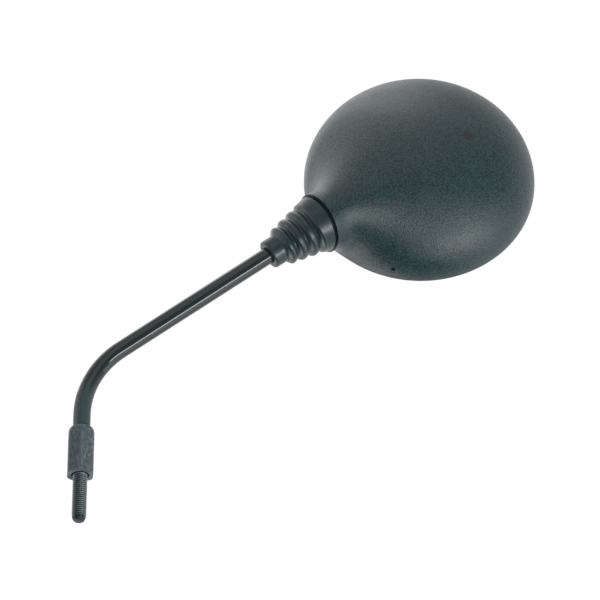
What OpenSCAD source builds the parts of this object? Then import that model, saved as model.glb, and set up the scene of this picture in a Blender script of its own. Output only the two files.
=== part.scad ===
// Motorcycle mirror: round head on a bent rod, with a ball joint under a rubber boot.
// The origin is the centre of the wrench sleeve's lower face, on the stud's axis.
// +Z points up the stud, the rod leans towards +X, and the glass faces +Y.

/* [Stud and sleeve] */
// Outer diameter of the threaded stud
stud_d = 8; // [6:0.5:9]
// Length of the stud below the sleeve
stud_len = 28; // [18:1:40]
// Length of the stud's rounded point
stud_point = 4; // [2:0.5:6]
// Diameter of the point's blunt end
stud_tip_d = 4.4; // [3:0.2:5]
// Width of the wrench sleeve across its flats
sleeve_af = 14; // [13:0.5:19]
// Length of the wrench sleeve
sleeve_len = 29; // [20:1:40]
// Length of the rounded shoulder at the sleeve's top
sleeve_shoulder = 11; // [6:0.5:14]
// Wall left at the sleeve's upper mouth
sleeve_lip = 0.9; // [0.5:0.1:1.5]
// Small turned chamfers of rod, sleeve and boot
edge_cut = 0.5; // [0.2:0.1:0.7]
// Diameter of the relief groove behind the stud's thread
relief_d = 6.8; // [5:0.1:7.5]
// How far the rod's shoulder sits up inside the sleeve
rod_recess = 6; // [3:0.5:10]
// Angle by which the sleeve's corners are turned from the rod's plane
sleeve_turn = 5.5; // [0:0.5:30]

/* [Rod] */
// Diameter of the rod
rod_d = 9.5; // [9:0.25:11]
// Height at which the bend starts
bend_z = 37.7; // [34:0.5:60]
// Bend radius on the rod's centre line
bend_r = 52; // [35:1:70]
// Thinning of the bar where it is bent
bend_thin = 0.12; // [0.1:0.01:0.2]
// Rise of the leaning part above the horizontal
rod_rise = 37; // [30:1:50]
// Distance from the bend's corner to the ball's centre
ball_reach = 176; // [150:1:200]
// Diameter of the turned neck below the ball
neck_d = 6.5; // [5.5:0.25:7]
// Length of rod, from the shoulder to the ball's centre, that is turned down
neck_len = 15; // [13:0.5:18]
// Length of the taper from the rod to its turned neck
neck_taper = 1.3; // [0.5:0.1:3]

/* [Ball joint] */
// Diameter of the ball
ball_d = 14; // [13:0.5:15]
// Diameter of the pressed spigot through the ball
spigot_d = 5.5; // [4.5:0.25:6]
// Wall of the nylon liner round the ball
liner_wall = 1.25; // [1:0.05:1.6]
// Half angle of the liner's opening towards the rod
liner_open = 54; // [50:1:57]
// Half angle of the clamp's opening towards the rod
clamp_open = 57; // [54:1:60]
// Half angle of the small opening at the liner's far end
liner_far = 28; // [24:1:32]
// Width of the liner's slit
liner_slit = 1.2; // [0.6:0.1:2]
// Thickness of the pressed clamp plates
plate_t = 1.8; // [1.5:0.1:2.2]
// Gap between the two clamp plates
plate_gap = 1; // [0.6:0.1:1.6]
// Radial running clearance between ball, liner and clamp
joint_clear = 0.05; // [0.02:0.01:0.1]

/* [Clamp fixings] */
// Distance from the ball's centre to the tension bolt
bolt_reach = 15.5; // [15.5:0.1:17]
// Diameter of the tension bolt
bolt_d = 5; // [4:0.5:5]
// Width across the flats of the tension bolt's head and nut
bolt_af = 8; // [7:0.5:9]
// Height of the tension bolt's head
bolt_head_h = 3.4; // [2.5:0.1:4]
// Height of the tension nut
nut_h = 4; // [3:0.1:5]
// Thread that stands past the tension nut
bolt_past = 1.8; // [1:0.1:2.5]
// Outer diameter of the disc springs
spring_d = 10; // [9:0.5:11]
// Thickness of one disc spring
spring_t = 0.6; // [0.4:0.1:0.8]
// Height of the cone of one disc spring
spring_rise = 0.5; // [0.3:0.1:0.7]
// Distance from the ball's centre to the row of mounting screws
screw_reach = 32.5; // [30:0.5:34]
// Distance between the two mounting screws
screw_span = 20; // [18:0.5:24]
// Width of the clamp plates' arm
arm_w = 17; // [14:0.5:18]
// Diameter of the mounting screws
screw_d = 4; // [3:0.5:4]
// Head diameter of the mounting screws
screw_head_d = 7.6; // [6:0.2:8.4]
// Head height of the mounting screws
screw_head_h = 2.4; // [2:0.1:3]
// Length of the mounting screws below the head
screw_len = 11.5; // [10:0.5:12]
// Width across the flats of the hexagon socket in the mounting screws
socket_af = 2.5; // [2:0.5:3]
// Depth of the hexagon socket
socket_depth = 1.3; // [0.8:0.1:1.6]
// Radius of the clamp plates round each mounting screw
lug_r = 5; // [4.5:0.1:5.5]
// Clearance of bolts and screws in their holes
hole_clear = 0.2; // [0.1:0.05:0.4]
// Free depth of the screw holes past the screws' ends
hole_past = 0.3; // [0.2:0.1:0.4]
// Width of the clamp plates outside the cup, all round it
cup_rim = 0.8; // [0.5:0.1:1.5]
// Width by which the pads between the clamp plates stay inside the lugs
pad_inset = 0.6; // [0.4:0.1:1]
// Clearance between pieces that are pressed together
press_clear = 0.02; // [0:0.01:0.05]

/* [Boot] */
// Length of the smooth cuff that grips the rod
cuff_len = 7; // [5:0.5:9]
// Outer radius of the cuff
cuff_r = 8.3; // [7.5:0.1:9]
// Outer radius of the first rib
rib_r = 11.4; // [10.5:0.1:12]
// Growth in radius from one rib to the next
rib_grow = 1.36; // [1:0.02:1.5]
// Distance from one rib to the next
rib_pitch = 6.6; // [6:0.1:7]
// Depth of the grooves between the ribs
rib_depth = 2; // [1.2:0.1:2.4]
// Distance from the boot's small end to the first rib
rib_start = 10.4; // [9.5:0.1:11.5]
// Distance from the boot's small end to the ball's centre
boot_reach = 48.9; // [47:0.5:51]
// Outer radius at the start of the smooth collar
collar_r1 = 15.5; // [15:0.1:16]
// Outer radius at the end of the smooth collar
collar_r2 = 16.9; // [16.2:0.1:17.2]
// Wall of the rubber
boot_wall = 1.5; // [1.2:0.1:1.8]
// Gap on the axis between the collar's end and the neck's mouth
mouth_gap = 1.2; // [1:0.1:1.6]
// Slant of the collar's end, which opens the gap on the domed side
collar_slant = 8.5; // [8:0.5:11]
// Length of the tail that goes into the neck
tail_len = 4.6; // [4:0.1:5]
// Gap all round the tail in the neck
tail_gap = 0.3; // [0.2:0.05:0.5]
// Clearance of the cuff on the rod
cuff_clear = 0.05; // [0.02:0.01:0.1]

/* [Head] */
// Outer diameter of the head
head_d = 132; // [124:1:140]
// Distance from the ball's centre to the head's axis
head_reach = 58.6; // [56:0.2:62]
// Height of the rim's edge in front of the rod's plane
rim_y = 26; // [25:0.5:28]
// Width of the straight band at the rim
band_w = 1; // [0.5:0.5:3]
// Depth of the domed back behind the band
dome_h = 39.5; // [37:0.5:42]
// Wall of the moulded shell
shell_wall = 2.4; // [2:0.1:2.8]
// Extra wall of the moulding away from the bore and the glass
wall_extra = 0.4; // [0.3:0.1:0.6]
// Outer radius of the neck at its mouth
mouth_r = 17.4; // [17.2:0.1:18.5]
// Distance from the neck's mouth to the ball's centre
mouth_reach = 13.2; // [12.5:0.1:14]
// Slant of the mouth, which is cut back on the domed side
mouth_slant = 11; // [6:0.5:12]
// Outer radius of the neck at the ball
neck_r = 16; // [15.5:0.1:17]
// Distance from the ball's centre, towards the rod, to where the neck starts to fan out
fan_start = 6; // [4:0.5:8]
// Radius to which the neck has fanned out where it runs out in the dome
runout_r = 48; // [44:1:50]
// Distance from the head's axis to where the neck runs out
runout_x = 8; // [6:1:12]
// Distance that the neck's centre line has moved towards the glass where it runs out
runout_z = 33; // [31:0.5:34]
// Width of the soft blend between neck and dome, at the neck
blend_w = 16; // [13:1:18]
// Width of the soft blend where the neck runs out
blend_end = 14; // [10:1:16]
// Diameter of the drain hole in the rim
drain_d = 2.4; // [1.5:0.1:3]
// Angle of the drain hole from the bottom of the head
drain_turn = 14; // [0:1:30]
// Outer radius of the mounting bosses
boss_r = 4.4; // [4:0.1:5]
// Height of the mounting bosses down to the shell
boss_len = 12.3; // [12.1:0.1:12.5]

/* [Glass] */
// Thickness of the glass
glass_t = 3; // [2:0.1:3.5]
// Radius of the glass's bulge
glass_bulge_r = 1200; // [900:50:2000]
// Distance from the rim's edge to the front of the glass, at its edge
glass_set = 1.8; // [1.6:0.1:2.4]
// Gap between the glass and the wall round it
glass_gap = 0.4; // [0.2:0.1:0.6]
// Overlap of the rim's snap lip over the glass
lip_over = 0.4; // [0.2:0.1:0.8]
// Thickness of the foam gasket behind the glass
gasket_t = 0.8; // [0.5:0.1:1.2]
// Width of the ledge that carries the gasket
ledge_w = 2.4; // [1.8:0.1:3]
// Thickness of the ledge at its inner edge
ledge_t = 1.4; // [1:0.1:2]
// Gap between the front edge of the glass and the snap lip
snap_gap = 0.3; // [0.1:0.05:0.5]
// Diameter of the foam backing behind the glass
backing_d = 92; // [80:1:100]
// Thickness of the foam backing at its edge
backing_t = 8; // [5:0.5:10]

/* [Hidden] */
RIBS = 3;
$fn = 64;
far = 200;

bend_turn = 90 - rod_rise;
corner_z = bend_z + bend_r * tan(bend_turn / 2);
bend_end = bend_r * tan(bend_turn / 2);
bend_lap = 0.4;
ball_flat = sqrt(pow(ball_d / 2, 2) - pow(neck_d / 2, 2));
ball_r = ball_d / 2;
liner_in = ball_r + joint_clear;
liner_out = liner_in + liner_wall;
cup_in = liner_out + joint_clear;
cup_out = cup_in + plate_t;
ball_x = -head_reach;
bolt_x = ball_x + bolt_reach;
screw_x = ball_x + screw_reach;
screw_y = screw_span / 2;
plate_z = plate_gap / 2 + plate_t;

head_r = head_d / 2;
band_z = rim_y - band_w;
mouth_x = ball_x - mouth_reach;
bore_r = mouth_r - shell_wall;

function lerp(a, b, f) = a + (b - a) * f;

// A point on the rod's leaning line, with Z along the rod
module on_rod(s) {
    translate([s * cos(rod_rise), 0, corner_z + s * sin(rod_rise)])
        rotate([0, bend_turn, 0])
            children();
}

// The head's own frame: X away from the rod, Z out of the glass, origin on the head's axis
module on_head() {
    on_rod(ball_reach + head_reach)
        rotate([0, -90, 0])
            rotate([-90, 0, 0])
                children();
}

module hex_bar(af, h) {
    cylinder(d = af / cos(30), h = h, $fn = 6);
}

// Rod, turned down to the stud below and to the ball's spigot above
module rod() {
    arm = ball_reach - bend_end;
    color([0.10, 0.10, 0.11]) {
        rotate_extrude()
            polygon(concat(
                [[0, -stud_len]],
                [for (a = [0:30:90])
                    [lerp(stud_tip_d, stud_d, sin(a)) / 2, -stud_len + stud_point * (1 - cos(a))]],
                [
                    [stud_d / 2, 0],
                    [relief_d / 2, edge_cut],
                    [relief_d / 2, rod_recess],
                    [rod_d / 2 - edge_cut, rod_recess],
                    [rod_d / 2, rod_recess + edge_cut],
                    [rod_d / 2, bend_z + bend_lap],
                    [0, bend_z + bend_lap]
                ]
            ));
        translate([bend_r, 0, bend_z])
            mirror([1, 0, 0])
                rotate([90, 0, 0])
                    rotate_extrude(angle = bend_turn)
                        translate([bend_r, 0])
                            circle(d = rod_d - bend_thin);
        on_rod(bend_end)
            rotate_extrude()
                polygon([
                    [0, -bend_lap],
                    [rod_d / 2, -bend_lap],
                    [rod_d / 2, arm - neck_len - neck_taper],
                    [neck_d / 2, arm - neck_len],
                    [neck_d / 2, arm - ball_flat],
                    [spigot_d / 2, arm - ball_flat],
                    [spigot_d / 2, arm + ball_flat],
                    [0, arm + ball_flat]
                ]);
    }
}

// Six-sided sleeve pressed on the rod, with a rounded shoulder and an open lower end
module hex_sleeve() {
    top_r = rod_d / 2 + sleeve_lip;
    flat_r = sleeve_af / 2;
    corner_r = sleeve_af / 2 / cos(30);
    color([0.34, 0.36, 0.37])
        difference() {
            intersection() {
                rotate([0, 0, 30 + sleeve_turn])
                    hex_bar(sleeve_af, sleeve_len);
                rotate_extrude()
                    polygon(concat(
                        [[0, 0], [corner_r - edge_cut, 0], [corner_r, edge_cut]],
                        [for (a = [0:15:90])
                            [top_r + (corner_r - top_r) * cos(a),
                             sleeve_len - sleeve_shoulder + sleeve_shoulder * sin(a)]],
                        [[0, sleeve_len]]
                    ));
            }
            translate([0, 0, -1])
                cylinder(d = rod_d + 2 * press_clear, h = sleeve_len + 2);
        }
}

// Ball with a flat at each end, pressed on the spigot
module ball() {
    color([0.62, 0.62, 0.60])
        on_rod(ball_reach)
            intersection() {
                difference() {
                    sphere(r = ball_r);
                    translate([0, 0, -far / 2])
                        cylinder(d = spigot_d + 2 * press_clear, h = far);
                }
                translate([0, 0, -ball_flat])
                    cylinder(r = ball_r + 1, h = 2 * ball_flat);
            }
}

// Rubber boot: cuff, ribs and a collar, with a tail inside the neck's mouth
function ease(a, b, f) = lerp(a, b, (1 - cos(180 * f)) / 2);
function crest_z(i) = -boot_reach + rib_start + i * rib_pitch;
function crest_r(i) = i < RIBS ? rib_r + i * rib_grow : collar_r1;
function groove_r(i) = (crest_r(i) + crest_r(i + 1)) / 2 - rib_depth;
function collar_at(z) = lerp(collar_r1, collar_r2, (z - crest_z(RIBS)) / (-mouth_reach - crest_z(RIBS)));
boot_steps = 6;
collar_far = -mouth_reach + 5;
boot_wave = concat(
    [for (k = [0:boot_steps])
        [ease(cuff_r, crest_r(0), k / boot_steps),
         lerp(-boot_reach + cuff_len, crest_z(0), k / boot_steps)]],
    [for (i = [0:RIBS - 1], k = [1:2 * boot_steps])
        [k <= boot_steps
            ? ease(crest_r(i), groove_r(i), k / boot_steps)
            : ease(groove_r(i), crest_r(i + 1), k / boot_steps - 1),
         crest_z(i) + rib_pitch * k / boot_steps / 2]]
);
inner_wave = [for (p = boot_wave) [p[0] - boot_wall, p[1]]];

module half_space_below(z, slant) {
    translate([0, 0, z])
        rotate([-slant, 0, 0])
            translate([-far / 2, -far / 2, -far])
                cube(far);
}

module boot() {
    grip_r = rod_d / 2 + cuff_clear;
    tail_r = bore_r - tail_gap;
    color([0.09, 0.10, 0.10])
        on_rod(ball_reach)
            difference() {
                union() {
                    intersection() {
                        rotate_extrude()
                            polygon(concat(
                                [
                                    [0, -boot_reach],
                                    [cuff_r - edge_cut, -boot_reach],
                                    [cuff_r, -boot_reach + edge_cut]
                                ],
                                boot_wave,
                                [[collar_at(collar_far), collar_far], [0, collar_far]]
                            ));
                        half_space_below(-mouth_reach - mouth_gap, collar_slant);
                    }
                    intersection() {
                        translate([0, 0, crest_z(RIBS)])
                            cylinder(r = tail_r, h = -crest_z(RIBS));
                        half_space_below(-mouth_reach + tail_len, mouth_slant);
                    }
                }
                translate([0, 0, -boot_reach - 1])
                    cylinder(r = grip_r, h = boot_reach);
                intersection() {
                    rotate_extrude()
                        polygon(concat(
                            [[0, -boot_reach + cuff_len - 1], [grip_r, -boot_reach + cuff_len - 1]],
                            inner_wave,
                            [[collar_at(collar_far) - boot_wall, collar_far], [0, collar_far]]
                        ));
                    half_space_below(-mouth_reach - mouth_gap - 2 * boot_wall, collar_slant);
                }
                translate([0, 0, crest_z(RIBS)])
                    cylinder(r = tail_r - boot_wall, h = -crest_z(RIBS));
            }
}

// Cone whose point is at the ball's centre, for the openings towards the rod
module ray_cone(half_angle, reach) {
    cylinder(r1 = 0, r2 = reach * tan(half_angle), h = reach);
}

module ball_liner() {
    color([0.86, 0.85, 0.80])
        on_rod(ball_reach)
            difference() {
                sphere(r = liner_out);
                sphere(r = liner_in);
                mirror([0, 0, 1])
                    ray_cone(liner_open, liner_out + 2);
                ray_cone(liner_far, liner_out + 2);
                translate([0, -liner_slit / 2, -far / 2])
                    cube([far, liner_slit, far]);
            }
}

// Outline of a clamp plate: round the cup, along the arm and round the two lugs
clamp_round = cup_out + cup_rim;

bridge_w = 1.6 * lug_r;

module clamp_outline() {
    translate([ball_x, 0])
        circle(r = clamp_round);
    translate([ball_x, -arm_w / 2])
        square([screw_reach, arm_w]);
    translate([screw_x - bridge_w / 2, -screw_y])
        square([bridge_w, screw_span]);
    for (side = [-1, 1])
        translate([screw_x, side * screw_y])
            circle(r = lug_r);
}

module at_screws() {
    for (side = [-1, 1])
        translate([screw_x, side * screw_y, 0])
            children();
}

// One clamp plate on the glass side of the ball's plane: half a cup, an arm and two lugs
module clamp_plate() {
    difference() {
        union() {
            translate([0, 0, plate_gap / 2])
                linear_extrude(plate_t)
                    clamp_outline();
            intersection() {
                translate([ball_x, 0, 0])
                    sphere(r = cup_out);
                translate([ball_x - far / 2, -far / 2, plate_gap / 2])
                    cube(far);
            }
        }
        translate([ball_x, 0, 0]) {
            sphere(r = cup_in);
            rotate([0, -90, 0])
                ray_cone(clamp_open, clamp_round + 2);
        }
        translate([bolt_x, 0, -far / 2])
            cylinder(d = bolt_d + 2 * hole_clear, h = far);
        at_screws()
            translate([0, 0, -far / 2])
                cylinder(d = screw_d + 2 * hole_clear, h = far);
    }
}

module clamp_back() {
    color([0.72, 0.73, 0.74])
        on_head()
            mirror([0, 0, 1])
                clamp_plate();
}

// The front plate also has pads that keep the lugs apart
module clamp_front() {
    color([0.72, 0.73, 0.74])
        on_head() {
            clamp_plate();
            at_screws()
                translate([0, 0, -plate_gap / 2])
                    difference() {
                        cylinder(r = lug_r - pad_inset, h = plate_gap);
                        translate([0, 0, -1])
                            cylinder(d = screw_d + 2 * hole_clear, h = plate_gap + 2);
                    }
        }
}

spring_stack = 2 * spring_t + 2 * spring_rise;
bolt_head_z = plate_z + spring_stack;
bolt_end_z = -plate_z - nut_h - bolt_past;

module tension_bolt() {
    color([0.60, 0.60, 0.55])
        on_head()
            translate([bolt_x, 0, 0]) {
                translate([0, 0, bolt_head_z])
                    hex_bar(bolt_af, bolt_head_h);
                translate([0, 0, bolt_end_z])
                    cylinder(d = bolt_d, h = bolt_head_z - bolt_end_z);
            }
}

module tension_nut() {
    color([0.60, 0.60, 0.55])
        on_head()
            translate([bolt_x, 0, -plate_z - nut_h])
                difference() {
                    hex_bar(bolt_af, nut_h);
                    translate([0, 0, -1])
                        cylinder(d = bolt_d + 2 * press_clear, h = nut_h + 2);
                }
}

// Two coned disc springs, rim to rim, under the bolt's head
module disc_spring() {
    bore = bolt_d / 2 + hole_clear;
    rotate_extrude()
        polygon([
            [bore, spring_rise],
            [spring_d / 2, 0],
            [spring_d / 2, spring_t],
            [bore, spring_rise + spring_t]
        ]);
}

module disc_springs() {
    color([0.45, 0.45, 0.47])
        on_head()
            translate([bolt_x, 0, plate_z + spring_stack / 2]) {
                disc_spring();
                mirror([0, 0, 1])
                    disc_spring();
            }
}

module mount_screws() {
    color([0.60, 0.60, 0.55])
        on_head()
            at_screws()
                translate([0, 0, plate_z]) {
                    translate([0, 0, -screw_len])
                        cylinder(d = screw_d, h = screw_len);
                    difference() {
                        cylinder(d = screw_head_d, h = screw_head_h);
                        translate([0, 0, screw_head_h - socket_depth])
                            hex_bar(socket_af, socket_depth + 1);
                    }
                }
}

// Signed distance, near enough for a surface search, to the domed back
function dome_at(p) =
    p[2] >= band_z
        ? norm([p[0], p[1]]) - head_r
        : let (
            q = [p[0] / head_r, p[1] / head_r, (p[2] - band_z) / dome_h],
            g = [q[0] / head_r, q[1] / head_r, q[2] / dome_h]
        ) norm(q) * (norm(q) - 1) / norm(g);

// Distance to the neck, which is round the rod's line as far as the ball and then fans out into the dome
neck_past = 4.5;
function along(x, from, to) = min(1, max(0, (x - from) / (to - from)));
fan_soft = 0.1;
function soft_ramp(t) = (norm([t, fan_soft]) - fan_soft) / (norm([1, fan_soft]) - fan_soft);
function fan_at(x) = soft_ramp(along(x, ball_x - fan_start, -runout_x));
function neck_r_at(x) = lerp(ease(mouth_r, neck_r, along(x, mouth_x, ball_x)), runout_r, fan_at(x));
function neck_at(p) =
    let (x = min(-runout_x, max(mouth_x - neck_past, p[0])))
    norm(p - [x, 0, runout_z * fan_at(x)]) - neck_r_at(x);

// Neck and dome joined with a blend that is widest at the neck
function blend_at(p) = lerp(blend_w, blend_end, along(p[0], ball_x, -runout_x));
function skin_at(p) =
    let (a = dome_at(p), b = neck_at(p), k = blend_at(p), h = max(k - abs(a - b), 0) / k)
    min(a, b) - h * h * k / 4;

// Distance along a ray, from inside the head, to a face that lies a wall's thickness under the skin
function skin_hit(start, dir, wall, low = 0, high = 110, n = 18) =
    n == 0
        ? (low + high) / 2
        : let (mid = (low + high) / 2)
          skin_at(start + mid * dir) + wall < 0
            ? skin_hit(start, dir, wall, mid, high, n - 1)
            : skin_hit(start, dir, wall, low, mid, n - 1);

near_turns = [0, 4, 8, 10, 11, 12, 13, 14, 15.5, 17, 19, 21.5, 24.5, 28];
last_near = near_turns[len(near_turns) - 1];
far_turns = 60;
skin_turns = concat(
    near_turns,
    [for (i = [1:far_turns - 1]) last_near + i * (360 - 2 * last_near) / far_turns],
    [for (i = [len(near_turns) - 1:-1:1]) 360 - near_turns[i]]
);
band_drop = 11;
fan_z = band_z - band_drop;
fan_rows = concat(
    [for (b = [0:3:30]) [fan_z, b]],
    [for (b = [35, 41, 48, 56, 65, 75]) [fan_z, b]]
);
outer_rows = concat(
    [for (z = [rim_y, band_z, band_z - band_drop / 3, band_z - band_drop * 2 / 3]) [z, 0]],
    fan_rows
);

// Closed body under the skin, from rows of rays as [height of their start, angle below the level]
module under_skin(rows, wall) {
    n = len(skin_turns);
    m = len(rows);
    points = concat(
        [for (row = rows, turn = skin_turns)
            let (
                start = [0, 0, row[0]],
                dir = [-cos(turn) * cos(row[1]), -sin(turn) * cos(row[1]), -sin(row[1])]
            ) start + skin_hit(start, dir, wall) * dir],
        [[0, 0, -skin_hit([0, 0, 0], [0, 0, -1], wall)]]
    );
    faces = concat(
        [[for (i = [n - 1:-1:0]) i]],
        [for (j = [0:m - 2], i = [0:n - 1])
            [j * n + i, j * n + (i + 1) % n, (j + 1) * n + i]],
        [for (j = [0:m - 2], i = [0:n - 1])
            [(j + 1) * n + i, j * n + (i + 1) % n, (j + 1) * n + (i + 1) % n]],
        [for (i = [0:n - 1]) [(m - 1) * n + i, (m - 1) * n + (i + 1) % n, m * n]]
    );
    polyhedron(points, faces);
}

glass_top = rim_y - glass_set;
glass_back = glass_top - glass_t;
ledge_z = glass_back - gasket_t;
ledge_under = ledge_z - ledge_t;
pocket_r = head_r - shell_wall;
glass_r = pocket_r - glass_gap;
bore_past = 0.6;
bore_len = tail_len + mouth_r * tan(mouth_slant) + bore_past;
inner_rows = concat([[ledge_under, 0]], fan_rows);

// Hollow of the shell: room under the skin, ledge for the gasket, glass pocket, snap lip and bore
module hollow() {
    under_skin(inner_rows, shell_wall + wall_extra);
    rotate_extrude()
        polygon([
            [0, ledge_under - 1],
            [pocket_r - ledge_w, ledge_under - 1],
            [pocket_r - ledge_w, ledge_z],
            [pocket_r, ledge_z],
            [pocket_r, glass_top + snap_gap],
            [glass_r - lip_over, glass_top + snap_gap + glass_gap + lip_over],
            [glass_r - lip_over, rim_y + 1],
            [0, rim_y + 1]
        ]);
    translate([mouth_x + bore_len, 0, 0])
        rotate([0, -90, 0])
            cylinder(r = bore_r, h = bore_len + 2 * mouth_r);
}

module back_shell() {
    color([0.17, 0.19, 0.20])
        on_head()
            difference() {
                union() {
                    difference() {
                        under_skin(outer_rows, 0);
                        hollow();
                    }
                    at_screws()
                        translate([0, 0, -plate_z - boss_len])
                            cylinder(r = boss_r, h = boss_len);
                }
                translate([mouth_x, 0, 0])
                    rotate([0, -mouth_slant, 0])
                        translate([-far, -far / 2, -far / 2])
                            cube(far);
                at_screws()
                    translate([0, 0, plate_z - screw_len - hole_past])
                        cylinder(d = screw_d + 2 * press_clear, h = far);
                rotate([0, 0, 90 + rod_rise + drain_turn])
                    translate([head_r, 0, ledge_under - drain_d / 2])
                        rotate([0, -90, 0])
                            cylinder(d = drain_d, h = 3 * shell_wall);
            }
}

// Foam ring on the ledge, under the edge of the glass
module glass_gasket() {
    color([0.20, 0.20, 0.20])
        on_head()
            translate([0, 0, ledge_z])
                difference() {
                    cylinder(r = glass_r, h = gasket_t);
                    translate([0, 0, -1])
                        cylinder(r = pocket_r - ledge_w, h = gasket_t + 2);
                }
}

// Height of a bulged face at a distance from the axis, level with z at the glass's edge
function bulge_z(x, z, r) = z + sqrt(pow(r, 2) - pow(x, 2)) - sqrt(pow(r, 2) - pow(glass_r, 2));
bulge_steps = 12;

// Convex glass of even thickness
module glass() {
    color([0.75, 0.80, 0.84])
        on_head()
            rotate_extrude()
                polygon(concat(
                    [for (k = [0:bulge_steps]) let (x = glass_r * k / bulge_steps)
                        [x, bulge_z(x, glass_back, glass_bulge_r - glass_t)]],
                    [for (k = [bulge_steps:-1:0]) let (x = glass_r * k / bulge_steps)
                        [x, bulge_z(x, glass_top, glass_bulge_r)]]
                ));
}

// Foam disc stuck to the back of the glass
module foam_backing() {
    r = backing_d / 2;
    color([0.30, 0.30, 0.30])
        on_head()
            rotate_extrude()
                polygon(concat(
                    [[0, glass_back - backing_t], [r, glass_back - backing_t]],
                    [for (k = [bulge_steps:-1:0]) let (x = r * k / bulge_steps)
                        [x, bulge_z(x, glass_back, glass_bulge_r - glass_t)]]
                ));
}

rod();
hex_sleeve();
ball();
boot();
ball_liner();
clamp_back();
clamp_front();
tension_bolt();
tension_nut();
disc_springs();
mount_screws();
back_shell();
glass_gasket();
foam_backing();
glass();
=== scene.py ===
"""Round handlebar mirror on a bent rod.

Dresses the frame's solids: thread, wrench sleeve, rubber boot, skin of the head, glass, foam,
finishes, studio light and camera. Sizes are in millimetres and agree with the part's source.
"""

import math

import bpy
import numpy as np
from mathutils import Matrix, Vector


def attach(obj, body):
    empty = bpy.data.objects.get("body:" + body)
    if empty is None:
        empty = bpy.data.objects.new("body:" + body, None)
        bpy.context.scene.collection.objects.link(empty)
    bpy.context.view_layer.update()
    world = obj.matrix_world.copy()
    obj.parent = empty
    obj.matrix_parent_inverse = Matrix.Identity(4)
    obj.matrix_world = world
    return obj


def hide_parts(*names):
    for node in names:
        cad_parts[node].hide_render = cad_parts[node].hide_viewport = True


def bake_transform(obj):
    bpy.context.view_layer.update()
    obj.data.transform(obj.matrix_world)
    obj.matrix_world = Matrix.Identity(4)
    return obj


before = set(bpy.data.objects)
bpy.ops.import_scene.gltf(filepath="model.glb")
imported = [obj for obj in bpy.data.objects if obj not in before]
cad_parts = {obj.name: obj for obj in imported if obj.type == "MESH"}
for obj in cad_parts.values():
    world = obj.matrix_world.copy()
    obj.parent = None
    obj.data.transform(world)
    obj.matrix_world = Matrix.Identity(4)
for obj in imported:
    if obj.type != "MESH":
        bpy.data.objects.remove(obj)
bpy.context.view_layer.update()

MM = 0.001

# Stud and its thread
STUD_R, STUD_LEN, STUD_POINT, STUD_TIP_R = 4.0, 28.0, 4.0, 2.2
THREAD_PITCH, THREAD_DEPTH = 1.25, 0.62
THREAD_ROWS = 12  # rows of points in one pitch
THREAD_START, THREAD_RUNOUT = 1.5, 0.8  # lengths of its shallow ends, at the tip and the top
FLANK_RISE, GROOVE_FLOOR = 2.5, 0.22
RELIEF_R, ROD_RECESS, EDGE_CUT = 3.4, 6.0, 0.5

# Wrench sleeve
SLEEVE_FLAT, SLEEVE_LEN, SLEEVE_SHOULDER, SLEEVE_LIP = 7.0, 29.0, 11.0, 0.9
SLEEVE_TURN = math.radians(35.5)  # from the rod's plane to a corner
SLEEVE_CLEAR, CORNER_CUT, CORNER_SOFTNESS = 0.02, 0.12, 9.0

# Rod
ROD_R, BEND_Z, BEND_R = 4.75, 37.7, 52.0
ROD_RISE = math.radians(37)
BALL_REACH, NECK_R, NECK_LEN, NECK_TAPER = 176.0, 3.25, 15.0, 1.3
BALL_FLAT, SPIGOT_R = 6.2, 2.75

# Boot, stations measured from the ball's centre
BOOT_REACH, MOUTH_REACH, MOUTH_GAP = 48.9, 13.2, 1.2
CUFF_LEN, CUFF_R, CUFF_CLEAR = 7.0, 8.3, 0.05
CUFF_ROUND, CUFF_ROUND_LEN = 0.9, 1.3
RIBS, RIB_START, RIB_R, RIB_GROW, RIB_PITCH, RIB_DEPTH = 3, 10.4, 11.4, 1.36, 6.6, 2.0
RIB_FULLNESS = 1.6  # above 1, crests are broad and grooves narrow
COLLAR_R1, COLLAR_R2, BOOT_WALL = 15.5, 16.9, 1.5
COLLAR_SLANT, MOUTH_SLANT = math.radians(8.5), math.radians(11)
TAIL_LEN, TAIL_GAP = 4.6, 0.3
BELLOWS_WALL, BEND_START = 1.0, 2.4  # thin and late, so that the bent boot clears the rod

# Head, in a frame of its own with the rim's centre over its origin
HEAD_R, HEAD_REACH, RIM_Z, BAND_W, DOME_H, SHELL_WALL = 66.0, 58.6, 26.0, 1.0, 39.5, 2.4
MOUTH_R, NECK_SHELL_R, RUNOUT_R, RUNOUT_X, RUNOUT_Z, NECK_PAST = 17.4, 16.0, 48.0, 8.0, 33.0, 4.5
FAN_START, FAN_SOFT, BLEND_W, BLEND_END, BAND_DROP, WALL_EXTRA = 6.0, 0.1, 16.0, 14.0, 11.0, 0.4
PLATE_Z, SCREW_REACH, SCREW_Y, SCREW_LEN, HOLE_PAST = 2.3, 32.5, 10.0, 11.5, 0.3
BOSS_R, BOSS_LEN, SCREW_HOLE_R = 4.4, 12.3, 2.02
RIM_ROUND = 0.7
DRAIN_R, DRAIN_TURN = 1.2, math.radians(14)
BORE_R, BORE_PAST = MOUTH_R - SHELL_WALL, 0.6

# Glass and foam
GLASS_R, GLASS_T, GLASS_BULGE, GLASS_SET = 63.2, 3.0, 1200.0, 1.8
GLASS_GAP, LIP_OVER, GASKET_T, LEDGE_W, LEDGE_T, SNAP_GAP = 0.4, 0.4, 0.8, 2.4, 1.4, 0.3
BACKING_R, BACKING_T = 46.0, 8.0
GROUND_EDGE = 0.35

# Search for the skin: the longest ray, and how often its length is halved
FARTHEST, HALVINGS = 110.0, 30

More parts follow.
